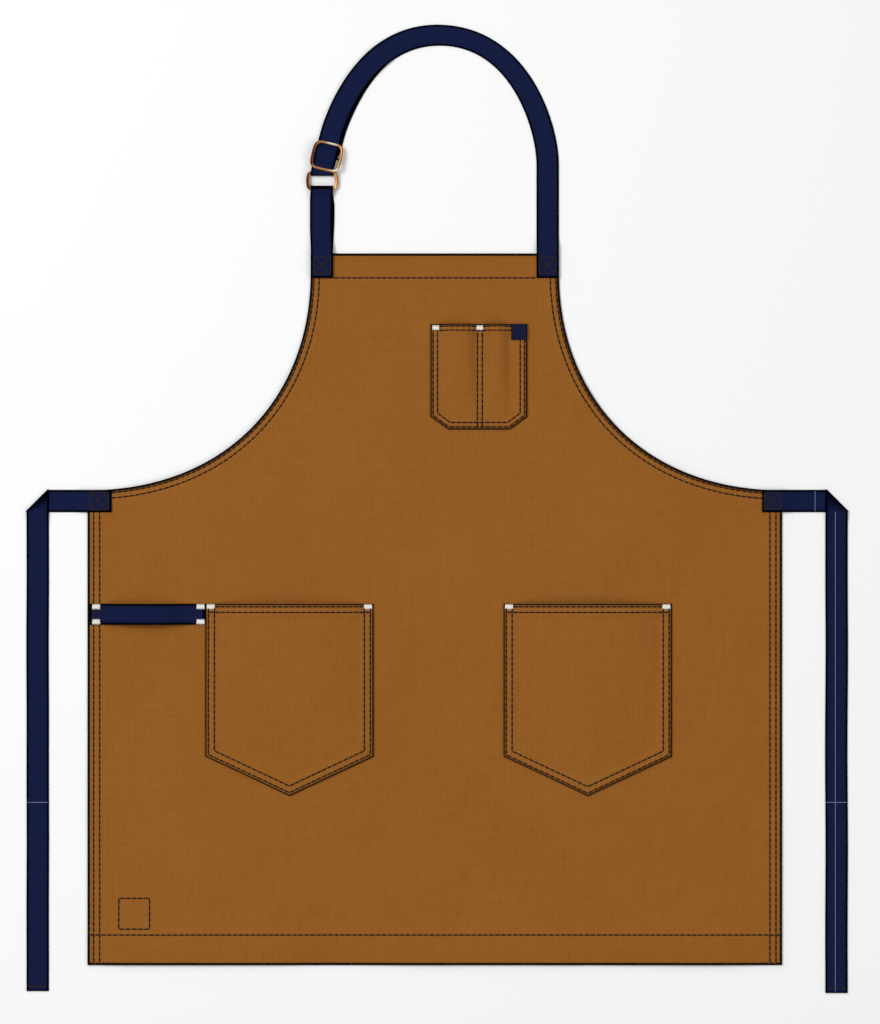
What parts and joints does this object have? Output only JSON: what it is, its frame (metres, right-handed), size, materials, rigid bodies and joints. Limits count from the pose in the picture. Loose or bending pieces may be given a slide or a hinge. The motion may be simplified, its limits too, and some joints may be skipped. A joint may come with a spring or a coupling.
{
  "type": "grill apron",
  "caption": "Canvas bib apron lying flat, with an adjustable webbing neck strap, webbing waist ties, patch pockets and a towel loop.",
  "frame": {"origin": "centre of the whole piece's outline on the surface that it lies on", "axes": "+Y from the lower hem to the neck band, +X to the right of the front view, +Z out of the front face"},
  "size_m": [0.871, 1.0248, 0.0133],
  "materials": {
    "panel_canvas": "heavy woven cotton canvas, matt",
    "pocket_canvas": "heavy woven cotton canvas, matt",
    "webbing": "ribbed woven webbing, matt",
    "label_weave": "fine damask weave, satin",
    "tack_thread": "satin stitch in polyester thread",
    "copper_wire": "antique copper plate on welded steel wire"
  },
  "bodies": {
    "root": {"front_panel": "panel_canvas", "chest_pocket": "pocket_canvas", "pocket_left": "pocket_canvas", "pocket_right": "pocket_canvas", "towel_loop": "webbing", "neck_strap_long": "webbing", "neck_strap_short": "webbing", "waist_tie_left": "webbing", "waist_tie_right": "webbing", "label_tab": "label_weave", "slider": "copper_wire", "strap_ring": "copper_wire", "bartack_loop_a": "tack_thread", "bartack_loop_b": "tack_thread", "bartack_loop_c": "tack_thread", "bartack_loop_d": "tack_thread", "bartack_left_a": "tack_thread", "bartack_left_b": "tack_thread", "bartack_right_a": "tack_thread", "bartack_right_b": "tack_thread", "bartack_chest_a": "tack_thread", "bartack_chest_b": "tack_thread"}
  },
  "joints": []
}
